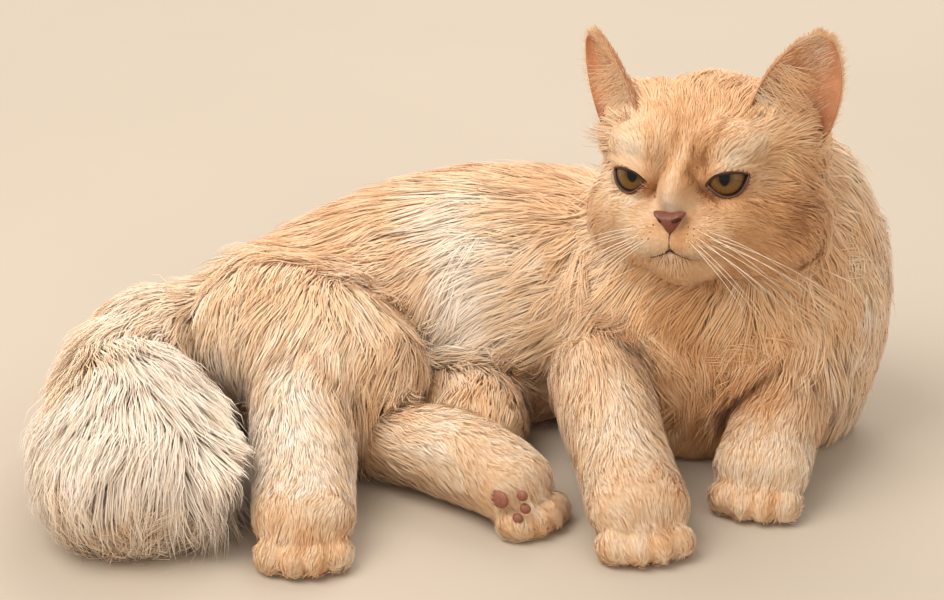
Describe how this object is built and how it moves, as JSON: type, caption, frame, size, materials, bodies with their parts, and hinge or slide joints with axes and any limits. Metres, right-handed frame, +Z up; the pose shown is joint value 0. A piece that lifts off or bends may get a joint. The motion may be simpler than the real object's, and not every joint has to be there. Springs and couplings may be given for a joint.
{
  "type": "lying persian cat, still life-size model",
  "caption": "Life-size still model of a long-haired persian cat lying on the floor, head raised, forelegs stretched forward, hips rolled over and bushy tail wrapped round to the front.",
  "frame": {"origin": "on the floor, under the middle of the part's footprint", "axes": "+Z up, -Y towards the viewer in the picture, +X to the viewer's right, where the head is"},
  "size_m": [0.4104, 0.3052, 0.2103],
  "materials": {
    "coat": "long soft cream-ginger fur",
    "coat_pale": "long soft pale cream fur",
    "ear": "thin bare skin inside, short fur outside",
    "nose": "brick-pink bare nose leather",
    "eye": "wet olive-brown eye with a dark pupil",
    "pads": "soft bare toe and sole pads",
    "whiskers": "stiff white hairs"
  },
  "bodies": {
    "root": {"head": "coat", "eye_left": "eye", "eye_right": "eye", "nose_leather": "nose", "ear_left": "ear", "ear_right": "ear", "forepaw_right": "coat_pale", "foreleg_right": "coat", "forepaw_left": "coat_pale", "foreleg_left": "coat", "hind_paw_right": "coat_pale", "hind_leg_right": "coat_pale", "hind_paw_left": "coat_pale", "hind_leg_left": "coat", "thigh_right": "coat", "thigh_left": "coat", "neck_ruff": "coat_pale", "chest": "coat", "tail_plume": "coat_pale", "tail_middle": "coat_pale", "tail_root": "coat", "torso": "coat", "hips": "coat"}
  },
  "joints": []
}
